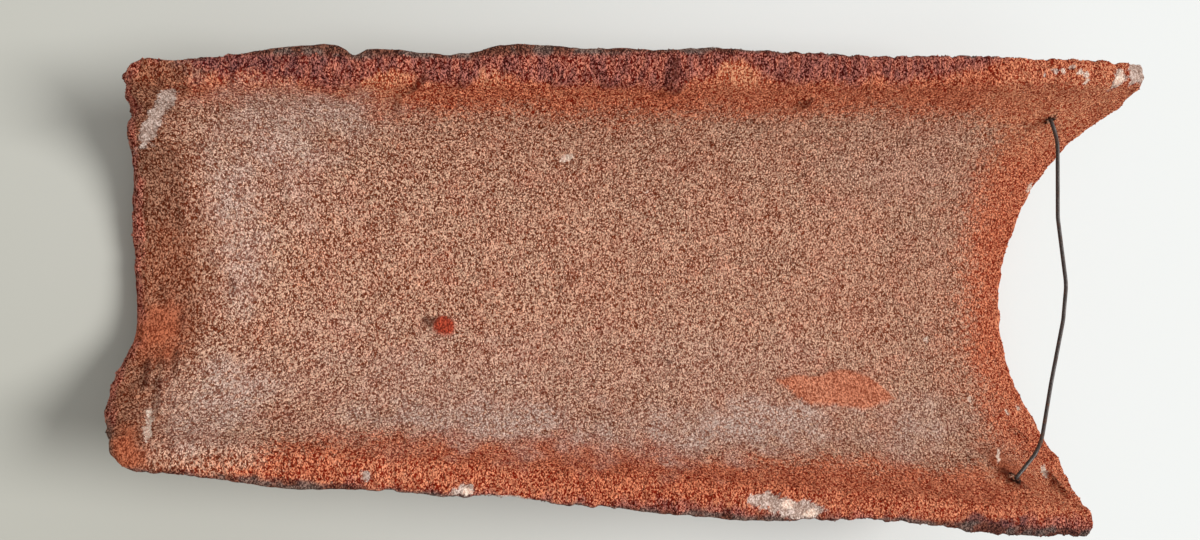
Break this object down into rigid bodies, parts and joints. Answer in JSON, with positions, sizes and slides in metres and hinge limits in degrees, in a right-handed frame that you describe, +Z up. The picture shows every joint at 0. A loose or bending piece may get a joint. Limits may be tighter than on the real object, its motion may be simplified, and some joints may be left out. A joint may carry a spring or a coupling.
{
  "type": "clay roof tile",
  "caption": "Tapered trough-shaped fired clay roof tile, hollow side up, with an iron wire strung across its wide end.",
  "frame": {"origin": "centre of the tile's footprint on the floor it lies on", "axes": "+X along the tile to its wide end, +Y across it, +Z up out of the hollow"},
  "size_m": [0.439, 0.2148, 0.0891],
  "materials": {
    "fired_clay": "matte",
    "iron_wire": "matte"
  },
  "bodies": {
    "root": {"tile_body": "fired_clay", "hanging_wire": "iron_wire"}
  },
  "joints": []
}
